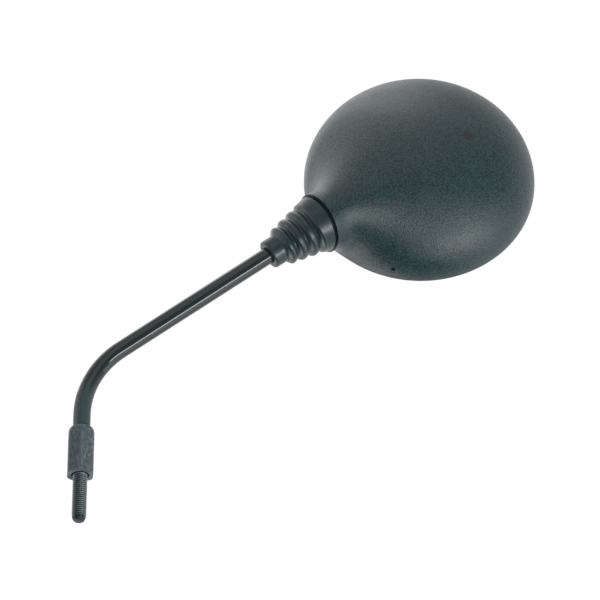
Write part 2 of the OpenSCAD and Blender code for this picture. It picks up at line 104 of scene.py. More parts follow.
GLASS_TOP = RIM_Z - GLASS_SET
GLASS_BACK = GLASS_TOP - GLASS_T
LEDGE_Z = GLASS_BACK - GASKET_T
BAND_Z = RIM_Z - BAND_W
BALL_X = -HEAD_REACH
MOUTH_X = BALL_X - MOUTH_REACH

# Directions and places of the rod's leaning part
BEND_TURN = math.pi / 2 - ROD_RISE
BEND_END = BEND_R * math.tan(BEND_TURN / 2)
CORNER = Vector((0, 0, BEND_Z + BEND_END))
ALONG = Vector((math.cos(ROD_RISE), 0, math.sin(ROD_RISE)))
ACROSS = Vector((math.sin(ROD_RISE), 0, -math.cos(ROD_RISE)))
TO_GLASS = Vector((0, 1, 0))


def on_rod(station):
    """Matrix of a point on the leaning line, with Z along the rod; millimetres to metres."""
    place = CORNER + station * ALONG
    axes = Matrix((ACROSS, TO_GLASS, ALONG)).transposed().to_4x4()
    return Matrix.Scale(MM, 4) @ Matrix.Translation(place) @ axes


def on_head():
    """Matrix of the head's own frame: X away from the rod, Z out of the glass."""
    place = CORNER + (BALL_REACH + HEAD_REACH) * ALONG
    axes = Matrix((ALONG, ACROSS, TO_GLASS)).transposed().to_4x4()
    return Matrix.Scale(MM, 4) @ Matrix.Translation(place) @ axes


UPRIGHT = Matrix.Scale(MM, 4)


# ---- meshes


def piece(name, points, faces, place, crease=35.0):
    """A new object from points in millimetres; edges sharper than crease degrees stay sharp."""
    mesh = bpy.data.meshes.new(name)
    mesh.from_pydata([tuple(p) for p in points], [], [tuple(f) for f in faces])
    mesh.transform(place)
    if place.determinant() < 0:
        mesh.flip_normals()
    mesh.shade_smooth()
    mesh.set_sharp_from_angle(angle=math.radians(crease))
    obj = bpy.data.objects.new(name, mesh)
    bpy.context.scene.collection.objects.link(obj)
    return obj


def grid_faces(rows, cols, wrap_rows=False):
    """Quads between rows of points that each close on themselves."""
    last = rows if wrap_rows else rows - 1
    return [
        (
            j * cols + i,
            j * cols + (i + 1) % cols,
            (j + 1) % rows * cols + (i + 1) % cols,
            (j + 1) % rows * cols + i,
        )
        for j in range(last)
        for i in range(cols)
    ]


def close_ends(faces, rows, cols):
    """Adds fans to the first and last row from two end points that follow the grid's points."""
    first, last, end = rows * cols, rows * cols + 1, (rows - 1) * cols
    faces += [(first, (i + 1) % cols, i) for i in range(cols)]
    faces += [(last, end + i, end + (i + 1) % cols) for i in range(cols)]
    return faces


def lathe(name, outline, place, cols=128, crease=35.0, shift=None):
    """Turns a closed outline of (radius, z) round Z; shift(angle, r, z) may move points along z."""
    points = []
    for r, z in outline:
        for i in range(cols):
            a = 2 * math.pi * i / cols
            dz = shift(a, r, z) if shift else 0.0
            points.append((r * math.cos(a), r * math.sin(a), z + dz))
    return piece(name, points, grid_faces(len(outline), cols, True), place, crease)


def turned(outline, cols):
    """Points and faces of an outline that starts and ends on the axis, turned round Z."""
    rows = outline[1:-1]
    points = [
        (r * math.cos(2 * math.pi * i / cols), r * math.sin(2 * math.pi * i / cols), z)
        for r, z in rows
        for i in range(cols)
    ]
    points += [(0, 0, outline[0][1]), (0, 0, outline[-1][1])]
    return points, close_ends(grid_faces(len(rows), cols), len(rows), cols)


def lerp(a, b, f):
    return a + (b - a) * f


def ease(a, b, f):
    return lerp(a, b, (1 - math.cos(math.pi * f)) / 2)


# ---- bar with its thread


def bar():
    """The rod as one bar: threaded stud, relief, bend, leaning arm, turned neck and spigot."""
    cols = 96
    turn = np.linspace(0, 2 * np.pi, cols, endpoint=False)
    rows = []

    def row(centre, side, radius):
        ring = np.outer(np.cos(turn), side) + np.outer(np.sin(turn), [0, 1, 0])
        rows.append(np.array(centre, float) + ring * np.reshape(radius, (-1, 1)))

    upright = np.array([1.0, 0, 0])
    thread_step = THREAD_PITCH / THREAD_ROWS
    z = -STUD_LEN
    while z < -thread_step / 2:
        above_tip = z + STUD_LEN
        rise = min(above_tip / STUD_POINT, 1.0)
        outer_r = lerp(STUD_TIP_R, STUD_R, math.sin(math.acos(1 - rise)))
        phase = (z / THREAD_PITCH - turn / (2 * np.pi)) % 1.0
        flank = np.clip(np.abs(phase - 0.5) * FLANK_RISE - GROOVE_FLOOR, 0, 1)
        fade = min(1.0, above_tip / THREAD_START) * min(1.0, -z / THREAD_RUNOUT)
        row((0, 0, z), upright, outer_r - THREAD_DEPTH * fade * (1 - flank))
        z += thread_step
    for radius, height in (
        (STUD_R, 0.0),
        (RELIEF_R, EDGE_CUT),
        (RELIEF_R, ROD_RECESS),
        (ROD_R - EDGE_CUT, ROD_RECESS),
        (ROD_R, ROD_RECESS + EDGE_CUT),
        (ROD_R, SLEEVE_LEN),
        (ROD_R, BEND_Z),
    ):
        row((0, 0, height), upright, np.full(cols, radius))
    for a in np.linspace(0, BEND_TURN, 37)[1:]:
        row(
            (BEND_R * (1 - math.cos(a)), 0, BEND_Z + BEND_R * math.sin(a)),
            np.array([math.cos(a), 0, -math.sin(a)]),
            np.full(cols, ROD_R),
        )
    for radius, station in (
        (ROD_R, BALL_REACH / 2),
        (ROD_R, BALL_REACH - NECK_LEN - NECK_TAPER),
        (NECK_R, BALL_REACH - NECK_LEN),
        (NECK_R, BALL_REACH - BALL_FLAT),
        (SPIGOT_R, BALL_REACH - BALL_FLAT),
        (SPIGOT_R, BALL_REACH + BALL_FLAT),
    ):
        row(CORNER + station * ALONG, np.array(ACROSS), np.full(cols, radius))
    ends = [rows[0].mean(0), rows[-1].mean(0)]
    faces = close_ends(grid_faces(len(rows), cols), len(rows), cols)
    obj = piece("threaded_bar", np.vstack(rows + [ends]), faces, UPRIGHT, crease=30)
    obj.data.materials.append(MATERIALS["rod_paint"])
    obj.data.materials.append(MATERIALS["thread_steel"])
    stud_top = (ROD_RECESS + EDGE_CUT / 2) * MM
    for face in obj.data.polygons:
        face.material_index = 1 if face.center.z < stud_top else 0
    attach(obj, "stem")
    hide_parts("rod")


# ---- wrench sleeve


def soft_min(a, b, width):
    """Lesser of two values, with the step between them rounded over a width."""
    h = np.clip(0.5 + 0.5 * (b - a) / width, 0, 1)
    return b + (a - b) * h - width * h * (1 - h)


def sleeve():
    """Six-sided sleeve: rounded corners, a domed shoulder and an open lower end."""
    # Degrees from a corner to the middle of a flat, close together at the corner
    half = [0, 0.5, 1.0, 1.6, 2.4, 3.6, 5.5, 8, 11, 15, 19, 23, 27, 30]
    sextant = np.radians(half[:-1] + [60 - a for a in half[:0:-1]])
    turn = np.concatenate([sextant + k * math.pi / 3 for k in range(6)])
    cols = len(turn)
    from_corner = np.minimum(turn % (math.pi / 3), math.pi / 3 - turn % (math.pi / 3))
    flat = SLEEVE_FLAT / np.cos(math.pi / 6 - from_corner)
    corner_r = SLEEVE_FLAT / math.cos(math.pi / 6)
    k = CORNER_SOFTNESS
    hexagon = -np.log(np.exp(-k * flat) + np.exp(-k * (corner_r - CORNER_CUT))) / k
    top_r, bore_r = ROD_R + SLEEVE_LIP, ROD_R + SLEEVE_CLEAR

    rows = [(SLEEVE_LEN - 0.3, bore_r), (SLEEVE_LEN / 2, bore_r), (0.3, bore_r)]
    rows += [(0.0, bore_r + 0.25), (0.0, SLEEVE_FLAT - 0.9), (0.0, SLEEVE_FLAT - 0.35)]
    for z in (0.05, 0.15, 0.3, 0.5, 0.8, 1.2, 2.5, 9.0, 14.0):
        chamfer_r = corner_r - EDGE_CUT - 0.1 + 1.1 * z
        rows.append((z, soft_min(hexagon, np.full(cols, chamfer_r), 0.35)))
    start = SLEEVE_LEN - SLEEVE_SHOULDER
    for a in np.radians(np.linspace(0, 88, 34)):
        dome_r = top_r + (corner_r - top_r) * math.cos(a)
        z = start + SLEEVE_SHOULDER * math.sin(a)
        rows.append((z, soft_min(hexagon, np.full(cols, dome_r), 0.12)))
    rows += [(SLEEVE_LEN, top_r - 0.25), (SLEEVE_LEN, bore_r + 0.2)]
    points = []
    for z, radius in rows:
        for a, r in zip(turn + SLEEVE_TURN, np.broadcast_to(radius, (cols,))):
            points.append((r * math.cos(a), r * math.sin(a), z))
    obj = piece("wrench_sleeve", points, grid_faces(len(rows), cols, True), UPRIGHT, crease=50)
    obj.data.materials.append(MATERIALS["sleeve_coat"])
    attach(obj, "stem")
    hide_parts("hex_sleeve")


# ---- rubber boot


def crest_z(i):
    return -BOOT_REACH + RIB_START + i * RIB_PITCH


def crest_r(i):
    return RIB_R + i * RIB_GROW if i < RIBS else COLLAR_R1


def groove_r(i):
    return (crest_r(i) + crest_r(i + 1)) / 2 - RIB_DEPTH


def wave(steps=10):
    """Outline of the ribs as (radius, z), from the cuff to the start of the collar."""
    cuff_end = -BOOT_REACH + CUFF_LEN
    out = [
        (ease(CUFF_R, crest_r(0), k / steps), lerp(cuff_end, crest_z(0), k / steps))
        for k in range(steps + 1)
    ]
    for i in range(RIBS):
        for k in range(1, 2 * steps + 1):
            if k <= steps:
                r = ease(crest_r(i), groove_r(i), (k / steps) ** RIB_FULLNESS)
            else:
                r = ease(crest_r(i + 1), groove_r(i), (2 - k / steps) ** RIB_FULLNESS)
            out.append((r, crest_z(i) + RIB_PITCH * k / steps / 2))
    return out


def boot():
    """Boot in two pieces that meet in the last groove."""
    ribs = wave()
    grip = ROD_R + CUFF_CLEAR
    low_z, cuff_end = -BOOT_REACH, -BOOT_REACH + CUFF_LEN
    seam_z = crest_z(RIBS - 1) + RIB_PITCH / 2
    lower = [p for p in ribs if p[1] <= seam_z + 1e-6]
    upper = [p for p in ribs if p[1] >= seam_z - 1e-6]
    cuff = [(grip, low_z + 0.1), (grip + 0.1, low_z), (grip + 1.2, low_z)]
    cuff += [
        (CUFF_R - CUFF_ROUND * (1 - math.sin(a)), low_z + CUFF_ROUND_LEN * (1 - math.cos(a)))
        for a in np.radians([0, 18, 36, 54, 72, 90])
    ]
    inside = [(r - BELLOWS_WALL, z) for r, z in reversed(lower) if z > cuff_end + 0.2]
    outline = cuff + lower + inside + [(grip + 0.4, cuff_end), (grip, cuff_end - 0.5)]
    bellows = lathe("boot_bellows", outline, on_rod(BALL_REACH), cols=144, crease=60)

    tail_r = BORE_R - TAIL_GAP
    end_z = -MOUTH_REACH - MOUTH_GAP
    start_z = crest_z(RIBS)

    def collar_r(z):
        return lerp(COLLAR_R1, COLLAR_R2, (z - start_z) / (-MOUTH_REACH - start_z))

    collar = [(collar_r(z), z) for z in np.linspace(start_z, end_z - 0.5, 12)[1:]]
    lip = [(collar_r(end_z) - 0.05, end_z - 0.2), (collar_r(end_z) - 0.25, end_z)]
    tail_end = -MOUTH_REACH + TAIL_LEN
    tail = [(tail_r + 0.3, end_z), (tail_r, end_z + 0.3), (tail_r, tail_end - 0.3)]
    tail += [(tail_r - 0.3, tail_end), (tail_r - BOOT_WALL, tail_end)]
    tail += [(tail_r - BOOT_WALL, start_z)]
    back = [(r - BELLOWS_WALL, z) for r, z in reversed(upper)]
    outline = upper + collar + lip + tail + back[1:]

    def slant(angle, r, z):
        along = min(1.0, max(0.0, (z - start_z) / (end_z - start_z)))
        tilt = COLLAR_SLANT if z <= end_z else MOUTH_SLANT
        return -r * math.sin(angle) * math.tan(tilt) * along

    top = lathe("boot_collar", outline, on_rod(BALL_REACH), cols=144, crease=60, shift=slant)
    for obj in (bellows, top):
        obj.data.materials.append(MATERIALS["boot_rubber"])
        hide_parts("boot")

    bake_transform(bellows)
    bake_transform(top)


# ---- shell of the head


def unit(v):
    return v / np.linalg.norm(v, axis=-1, keepdims=True)


def dome_at(p):
    """Distance to the band at the rim and the domed back, near enough for a surface search."""
    flat = np.hypot(p[..., 0], p[..., 1])
    band = flat - HEAD_R
    q = np.stack([p[..., 0] / HEAD_R, p[..., 1] / HEAD_R, (p[..., 2] - BAND_Z) / DOME_H], -1)
    g = q / np.array([HEAD_R, HEAD_R, DOME_H])
    n = np.maximum(np.linalg.norm(q, axis=-1), 1e-9)
    curved = n * (n - 1) / np.maximum(np.linalg.norm(g, axis=-1), 1e-9)
    return np.where(p[..., 2] >= BAND_Z, band, curved)


def share(x, a, b):
    return np.clip((x - a) / (b - a), 0, 1)


def soft_ramp(t):
    return (np.hypot(t, FAN_SOFT) - FAN_SOFT) / (math.hypot(1, FAN_SOFT) - FAN_SOFT)


def neck_at(p):
    """Distance to the neck, round the rod's line as far as the ball and then fanning out."""
    x = np.clip(p[..., 0], MOUTH_X - NECK_PAST, -RUNOUT_X)
    fan = soft_ramp(share(x, BALL_X - FAN_START, -RUNOUT_X))
    taper = (1 - np.cos(np.pi * share(x, MOUTH_X, BALL_X))) / 2
    radius = lerp(lerp(MOUTH_R, NECK_SHELL_R, taper), RUNOUT_R, fan)
    axis = np.stack([x, np.zeros_like(x), RUNOUT_Z * fan], -1)
    return np.linalg.norm(p - axis, axis=-1) - radius


def skin_at(p):
    a, b = dome_at(p), neck_at(p)
    k = lerp(BLEND_W, BLEND_END, share(p[..., 0], BALL_X, -RUNOUT_X))
    h = np.maximum(k - np.abs(a - b), 0) / k
    return np.minimum(a, b) - h * h * k / 4


def skin_hit(start, way, wall=0.0):
    """Length of each ray, from inside the head, to a face a wall's thickness under the skin."""
    low, high = np.zeros(start.shape[:-1]), np.full(start.shape[:-1], FARTHEST)
    for _ in range(HALVINGS):
        mid = (low + high) / 2
        inside = skin_at(start + mid[..., None] * way) + wall < 0
        low, high = np.where(inside, mid, low), np.where(inside, high, mid)
    return (low + high) / 2


def skin_normal(p):
    step = 0.02
    slope = [skin_at(p + step * axis) - skin_at(p - step * axis) for axis in np.eye(3)]
    return unit(np.stack(slope, -1))


def under_skin(rows, turns, wall=0.0):
    """Closed body under the skin; rows are (start height, tilt below level, inset at the end)."""
    start = np.zeros((len(rows), len(turns), 3))
    way = np.zeros_like(start)
    for j, (z, tilt, _) in enumerate(rows):
        start[j, :, 2] = z
        way[j, :, 0] = -np.cos(turns) * math.cos(tilt)
        way[j, :, 1] = -np.sin(turns) * math.cos(tilt)
        way[j, :, 2] = -math.sin(tilt)
    reach = skin_hit(start, way, wall) - np.array([r[2] for r in rows])[:, None]
    grid = start + reach[..., None] * way
    below = np.array([0, 0, rows[-1][0]])
    pole = below + skin_hit(below, np.array([0, 0, -1.0]), wall) * np.array([0, 0, -1.0])
    points = np.vstack([grid.reshape(-1, 3), [[0, 0, rows[0][0]], pole]])
    return points, close_ends(grid_faces(*grid.shape[:2]), *grid.shape[:2])


def skin_solids():
    """Outer body of the shell, with a rounded rim, and the room inside it, in the head's frame.

    Rows and columns stand close together round the neck, which turns point at as 0.
    """
    near = [*np.arange(0, 9, 0.9), *np.arange(9, 26, 0.45), *np.arange(26, 40, 1.0)]
    turns = np.radians([*near, *np.linspace(40, 320, 150), *(360 - a for a in near[:0:-1])])
    fan_z = BAND_Z - BAND_DROP
    rows = [
        (RIM_Z - RIM_ROUND * (1 - math.sin(a)), 0.0, RIM_ROUND * (1 - math.cos(a)))
        for a in np.radians([90, 67, 45, 22, 0])
    ]
    rows += [(z, 0.0, 0.0) for z in np.linspace(BAND_Z, fan_z + 0.9, 12)]
    tilts = [*np.arange(0, 8, 0.9), *np.arange(8, 26, 0.5), *np.arange(26, 88, 1.25)]
    rows += [(fan_z, math.radians(b), 0.0) for b in tilts]
    inner_turns = np.radians([*range(0, 40), *range(40, 320, 4), *range(320, 360)])
    inner_rows = [(LEDGE_Z - LEDGE_T, 0.0, 0.0)]
    inner_rows += [(fan_z, math.radians(b), 0.0) for b in np.arange(0, 88, 2.5)]
    return under_skin(rows, turns), under_skin(inner_rows, inner_turns, SHELL_WALL + WALL_EXTRA)


def cutter(name, points, faces):
    """A solid that is added to the shell or cut from it, in the head's frame."""
    obj = piece(name, points, faces, Matrix.Identity(4))
    obj.hide_render = True
    return obj


def moved(solid, matrix):
    """Points and faces of a solid, put somewhere else in the head's frame."""
    points, faces = solid
    return [tuple(matrix @ Vector(p)) for p in points], faces


def shell():
    """Shell of the head: skin, hollow, slanted neck mouth, snap lip and drain hole."""
    outer, inner = skin_solids()
    body = cutter("shell_skin", *outer)
    ledge_under, pocket_r = LEDGE_Z - LEDGE_T, GLASS_R + GLASS_GAP
    lip_r = GLASS_R - LIP_OVER
    pocket = [
        (0, ledge_under - 1),
        (pocket_r - LEDGE_W, ledge_under - 1),
        (pocket_r - LEDGE_W, LEDGE_Z),
        (pocket_r, LEDGE_Z),
        (pocket_r, GLASS_TOP + SNAP_GAP),
        (lip_r, GLASS_TOP + SNAP_GAP + GLASS_GAP + LIP_OVER),
        (lip_r, RIM_Z - 0.35),
        (lip_r + 0.12, RIM_Z - 0.12),
        (lip_r + 0.35, RIM_Z),
        (lip_r + 1.35, RIM_Z + 1),
        (0, RIM_Z + 1),
    ]
    bore_len = TAIL_LEN + MOUTH_R * math.tan(MOUTH_SLANT) + BORE_PAST
    bore = [(0, MOUTH_X - 2 * MOUTH_R), (BORE_R, MOUTH_X - 2 * MOUTH_R)]
    bore += [(BORE_R, MOUTH_X + bore_len), (0, MOUTH_X + bore_len)]
    sideways = Matrix.Rotation(math.pi / 2, 4, "Y")
    drain = [(0, -8), (DRAIN_R, -8), (DRAIN_R, 8), (0, 8)]
    drain_turn = math.pi / 2 + ROD_RISE + DRAIN_TURN
    drain_place = (
        Matrix.Rotation(drain_turn, 4, "Z")
        @ Matrix.Translation((HEAD_R, 0, ledge_under - DRAIN_R))
        @ sideways
    )
    far = 60
    mouth_box = [(x, y, z) for x in (-far, 0) for y in (-far, far) for z in (-far, far)]
    box_faces = [(0, 1, 3, 2), (4, 6, 7, 5), (0, 4, 5, 1), (2, 3, 7, 6), (0, 2, 6, 4), (1, 5, 7, 3)]
    mouth_place = Matrix.Translation((MOUTH_X, 0, 0)) @ Matrix.Rotation(-MOUTH_SLANT, 4, "Y")
    boss = [(0, -PLATE_Z - BOSS_LEN), (BOSS_R, -PLATE_Z - BOSS_LEN)]
    boss += [(BOSS_R, -PLATE_Z - 0.3), (BOSS_R - 0.3, -PLATE_Z), (0, -PLATE_Z)]
    hole_end = PLATE_Z - SCREW_LEN - HOLE_PAST
    hole = [(0, hole_end), (SCREW_HOLE_R, hole_end), (SCREW_HOLE_R, RIM_Z), (0, RIM_Z)]
    at_screws = [
        Matrix.Translation((BALL_X + SCREW_REACH, side * SCREW_Y, 0)) for side in (-1, 1)
    ]
    tools = [
        cutter("cut_room", *inner),
        cutter("cut_pocket", *turned(pocket, 192)),
        cutter("cut_bore", *moved(turned(bore, 128), sideways)),
        *[cutter("add_boss", *moved(turned(boss, 48), place)) for place in at_screws],
        *[cutter("cut_hole", *moved(turned(hole, 32), place)) for place in at_screws],
        cutter("cut_drain", *moved(turned(drain, 32), drain_place)),
        cutter("cut_mouth", *moved((mouth_box, box_faces), mouth_place)),
    ]
    for tool in tools:
        cut = body.modifiers.new(tool.name, "BOOLEAN")
        cut.operation = "UNION" if tool.name.startswith("add") else "DIFFERENCE"
        cut.solver, cut.object = "EXACT", tool
    depsgraph = bpy.context.evaluated_depsgraph_get()
    mesh = bpy.data.meshes.new_from_object(body.evaluated_get(depsgraph))
    for tool in tools + [body]:
        bpy.data.objects.remove(tool)
    mesh.name = "head_shell"
    smooth_skin(mesh)
    mesh.transform(on_head())
    obj = bpy.data.objects.new("head_shell", mesh)
    bpy.context.scene.collection.objects.link(obj)
    mesh.materials.clear()
    mesh.materials.append(MATERIALS["shell_plastic"])
    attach(obj, "head")
    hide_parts("back_shell")


def array_of(items, attribute, width, kind=float):
    """One attribute of a mesh's items as an array with width numbers a row."""
    values = np.zeros(len(items) * width, kind)
    items.foreach_get(attribute, values)
    return values.reshape(-1, width) if width > 1 else values


def smooth_skin(mesh):
    """Gives the corners that lie on the outer skin the skin's own normals."""
    mesh.shade_smooth()
    mesh.set_sharp_from_angle(angle=math.radians(30))
    points = array_of(mesh.vertices, "co", 3)
    normals = array_of(mesh.corner_normals, "vector", 3)
    corner = array_of(mesh.loops, "vertex_index", 1, np.int64)
    sizes = array_of(mesh.polygons, "loop_total", 1, np.int64)
    face_normal = np.repeat(array_of(mesh.polygons, "normal", 3), sizes, axis=0)
    analytic = skin_normal(points)[corner]
    on_skin = (np.abs(skin_at(points)) < 0.02)[corner]
    agree = (face_normal * analytic).sum(-1) > 0.8
    starts = np.r_[0, np.cumsum(sizes)[:-1]]
    whole_face = np.minimum.reduceat((on_skin & agree).astype(int), starts)
    whole = np.repeat(whole_face, sizes).astype(bool)
    normals[whole] = analytic[whole]
    mesh.normals_split_custom_set(normals.tolist())


# ---- glass and foam


def bulge_z(x, z, radius):
    return z + math.sqrt(radius**2 - x**2) - math.sqrt(radius**2 - GLASS_R**2)


def back_of_glass(start, end, steps):
    """Points along the back of the glass, from one radius to another."""
    radius = GLASS_BULGE - GLASS_T
    return [(x, bulge_z(x, GLASS_BACK, radius)) for x in np.linspace(start, end, steps)]


def glass():
    """Convex mirror glass with a ground edge."""
    face_r = GLASS_R - GROUND_EDGE
    front = [(x, bulge_z(x, GLASS_TOP, GLASS_BULGE)) for x in np.linspace(0, face_r, 40)]
    edge = [(GLASS_R, GLASS_TOP - GROUND_EDGE), (GLASS_R, GLASS_BACK + GROUND_EDGE)]
    outline = (front + edge + back_of_glass(face_r, 0, 40))[::-1]
    obj = piece("mirror_glass", *turned(outline, 192), on_head(), crease=25)
    obj.data.materials.append(MATERIALS["mirror"])
    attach(obj, "head")
    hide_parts("glass")


def foams():
    """Foam ring under the glass and foam disc on its back."""
    cut = 0.1
    in_r, out_r, low, high = GLASS_R + GLASS_GAP - LEDGE_W, GLASS_R, LEDGE_Z, GLASS_BACK
    ring = [(in_r, low + cut), (in_r + cut, low), (out_r - cut, low), (out_r, low + cut)]
    ring += [(out_r, high - cut), (out_r - cut, high), (in_r + cut, high), (in_r, high - cut)]
    gasket = lathe("foam_ring", ring, on_head(), cols=128, crease=60)
    back = GLASS_BACK - BACKING_T
    disc = [(0, back), (BACKING_R - 0.8, back), (BACKING_R - 0.2, back + 0.2)]
    disc += [(BACKING_R, back + 0.8), *back_of_glass(BACKING_R, 0, 12)]
    backing = piece("foam_disc", *turned(disc, 96), on_head(), crease=60)
    for obj, node in ((gasket, "glass_gasket"), (backing, "foam_backing")):
        obj.data.materials.append(MATERIALS["foam"])
        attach(obj, "head")
        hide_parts(node)


# ---- shared effects, as node groups


def group(name, inputs, outputs):
    """An empty node group with named number inputs and named outputs."""
    tree = bpy.data.node_groups.new(name, "ShaderNodeTree")
    for label, value in inputs:
        socket = tree.interface.new_socket(label, in_out="INPUT", socket_type="NodeSocketFloat")
        socket.default_value = value
    for label, kind in outputs:
        tree.interface.new_socket(label, in_out="OUTPUT", socket_type=kind)
    return tree, tree.nodes.new("NodeGroupInput"), tree.nodes.new("NodeGroupOutput")


def put(tree, socket, value):
    """Sets a socket to a number, or links it to another node's output."""
    if isinstance(value, (int, float)):
        socket.default_value = value
    else:
        tree.links.new(value, socket)


def noise(tree, scale, detail=2.0, rough=0.5, coords=None):
    node = tree.nodes.new("ShaderNodeTexNoise")
    node.inputs["Detail"].default_value = detail
    node.inputs["Roughness"].default_value = rough
    put(tree, node.inputs["Scale"], scale)
    if coords is not None:
        tree.links.new(coords, node.inputs["Vector"])
    return node.outputs["Fac"]


def math_node(tree, operation, a, b=0.0, clamp=False):
    node = tree.nodes.new("ShaderNodeMath")
    node.operation = operation
    node.use_clamp = clamp
    for socket, value in zip(node.inputs, (a, b)):
        put(tree, socket, value)
    return node.outputs[0]


def spread(tree, value, low, high, to_low=0.0, to_high=1.0):
    """Soft step of a value: to_low at low, to_high at high."""
    node = tree.nodes.new("ShaderNodeMapRange")
    node.interpolation_type = "SMOOTHSTEP"
    tree.links.new(value, node.inputs["Value"])
    put(tree, node.inputs["From Min"], low)
    put(tree, node.inputs["From Max"], high)
    put(tree, node.inputs["To Min"], to_low)
    put(tree, node.inputs["To Max"], to_high)
    return node.outputs["Result"]


def object_coords(tree):
    return tree.nodes.new("ShaderNodeTexCoord").outputs["Object"]


def object_place(tree):
    """Place on the object, in metres, as three outputs X, Y and Z."""
    parts = tree.nodes.new("ShaderNodeSeparateXYZ")
    tree.links.new(object_coords(tree), parts.inputs["Vector"])
    return parts.outputs


def height_of(tree):
    """Height above the sleeve's lower face, in metres."""
    return object_place(tree)["Z"]


def from_axis(tree):
    """Distance from the stud's axis, in metres."""
    place = object_place(tree)
    squares = [math_node(tree, "POWER", place[axis], 2.0) for axis in ("X", "Y")]
    return math_node(tree, "SQRT", math_node(tree, "ADD", *squares))


def fine_grain():
    """Grain of a moulded or sprayed surface: Height for a bump, Tone from 0 to 1 for colour."""
    tree, given, out = group(
        "fine_grain", [("Scale", 900.0), ("Coarse", 0.35)],
        [("Height", "NodeSocketFloat"), ("Tone", "NodeSocketFloat")])
    place = object_coords(tree)
    fine = noise(tree, given.outputs["Scale"], 3.0, 0.6, place)
    wide_scale = math_node(tree, "MULTIPLY", given.outputs["Scale"], 0.22)
    wide = noise(tree, wide_scale, 1.0, 0.5, place)
    coarse = math_node(tree, "MULTIPLY", wide, given.outputs["Coarse"])
    tree.links.new(math_node(tree, "ADD", fine, coarse), out.inputs["Height"])
    tree.links.new(spread(tree, fine, 0.35, 0.65), out.inputs["Tone"])
    return tree


def dust():
    """Thin dust and handling haze: a mask from 0 to 1."""
    tree, given, out = group(
        "dust", [("Scale", 60.0), ("Amount", 0.3)], [("Mask", "NodeSocketFloat")])
    place = object_coords(tree)
    patches = spread(tree, noise(tree, given.outputs["Scale"], 4.0, 0.6, place), 0.42, 0.72)
    specks = spread(tree, noise(tree, 1400.0, 1.0, 0.5, place), 0.62, 0.74)
    haze = math_node(tree, "MULTIPLY", patches, 0.6)
    mask = math_node(tree, "ADD", haze, math_node(tree, "MULTIPLY", specks, 0.5))
    share_kept = math_node(tree, "MULTIPLY", mask, given.outputs["Amount"], True)
    tree.links.new(share_kept, out.inputs["Mask"])
    return tree


def scuffs():
    """Fine scratches in one direction: a mask from 0 to 1."""
    tree, given, out = group(
        "scuffs", [("Scale", 220.0), ("Amount", 0.3)], [("Mask", "NodeSocketFloat")])
    stretch = tree.nodes.new("ShaderNodeMapping")
    stretch.inputs["Scale"].default_value = (1.0, 0.12, 0.3)
    stretch.inputs["Rotation"].default_value = (0.3, 0.5, 0.4)
    tree.links.new(object_coords(tree), stretch.inputs["Vector"])
    lines = noise(tree, given.outputs["Scale"], 2.0, 0.5, stretch.outputs["Vector"])
    mask = spread(tree, lines, 0.6, 0.7)
    share_kept = math_node(tree, "MULTIPLY", mask, given.outputs["Amount"], True)
    tree.links.new(share_kept, out.inputs["Mask"])
    return tree


GROUPS = {"fine_grain": fine_grain(), "dust": dust(), "scuffs": scuffs()}


# ---- materials


class Finish:
    """One material: a Principled surface with helpers for its own nodes."""

    def __init__(self, name, color, rough, metal=0.0, specular=0.5):
        self.material = bpy.data.materials.new(name)
        self.material.use_nodes = True
        self.tree = self.material.node_tree
        self.surface = self.tree.nodes["Principled BSDF"]
        self.color = (*color, 1.0)
        self.set("Base Color", self.color)
        self.set("Roughness", rough)
        self.set("Metallic", metal)
        self.set("Specular IOR Level", specular)

    def set(self, label, value):
        self.surface.inputs[label].default_value = value

    def effect(self, name, output, **values):
        """One output of a shared effect, with this material's own values."""
        node = self.tree.nodes.new("ShaderNodeGroup")
        node.node_tree = GROUPS[name]
        for label, value in values.items():
            node.inputs[label].default_value = value
        return node.outputs[output]

    def tint(self, mask, color):
        """Mixes another colour in where the mask is; later tints lie over earlier ones."""
        mix = self.tree.nodes.new("ShaderNodeMix")
        mix.data_type = "RGBA"
        mix.inputs["B"].default_value = (*color, 1.0)
        socket = self.surface.inputs["Base Color"]
        if socket.is_linked:
            self.tree.links.new(socket.links[0].from_socket, mix.inputs["A"])
        else:
            mix.inputs["A"].default_value = self.color
        self.tree.links.new(mask, mix.inputs["Factor"])
        self.tree.links.new(mix.outputs["Result"], socket)

    def rough_from(self, mask, low, high):
        """Roughness from low to high where the mask goes from 0 to 1."""
        rough = spread(self.tree, mask, 0.0, 1.0, low, high)
        self.tree.links.new(rough, self.surface.inputs["Roughness"])

    def bump(self, height, depth_mm):
        node = self.tree.nodes.new("ShaderNodeBump")
        node.inputs["Strength"].default_value = 1.0
        node.inputs["Distance"].default_value = depth_mm * MM
        self.tree.links.new(height, node.inputs["Height"])
        self.tree.links.new(node.outputs["Normal"], self.surface.inputs["Normal"])


def spot_mask(tree, place_mm, radius_mm):
    """A ragged patch round one place on the object."""
    shift = tree.nodes.new("ShaderNodeMapping")
    shift.vector_type = "TEXTURE"
    shift.inputs["Location"].default_value = tuple(c * MM for c in place_mm)
    shift.inputs["Scale"].default_value = (radius_mm * MM,) * 3
    tree.links.new(object_coords(tree), shift.inputs["Vector"])
    far = tree.nodes.new("ShaderNodeVectorMath")
    far.operation = "LENGTH"
    tree.links.new(shift.outputs["Vector"], far.inputs[0])
    ragged = math_node(tree, "MULTIPLY", noise(tree, 700.0, 3.0, 0.6, object_coords(tree)), 0.5)
    edge = math_node(tree, "ADD", 1.0, ragged)
    return spread(tree, math_node(tree, "SUBTRACT", edge, far.outputs["Value"]), 0.1, 0.7)


DUST_GREY = (0.10, 0.105, 0.11)
SCUFF_PLACE, SCUFF_R = (214.2, -11.3, 212.9), 3.4


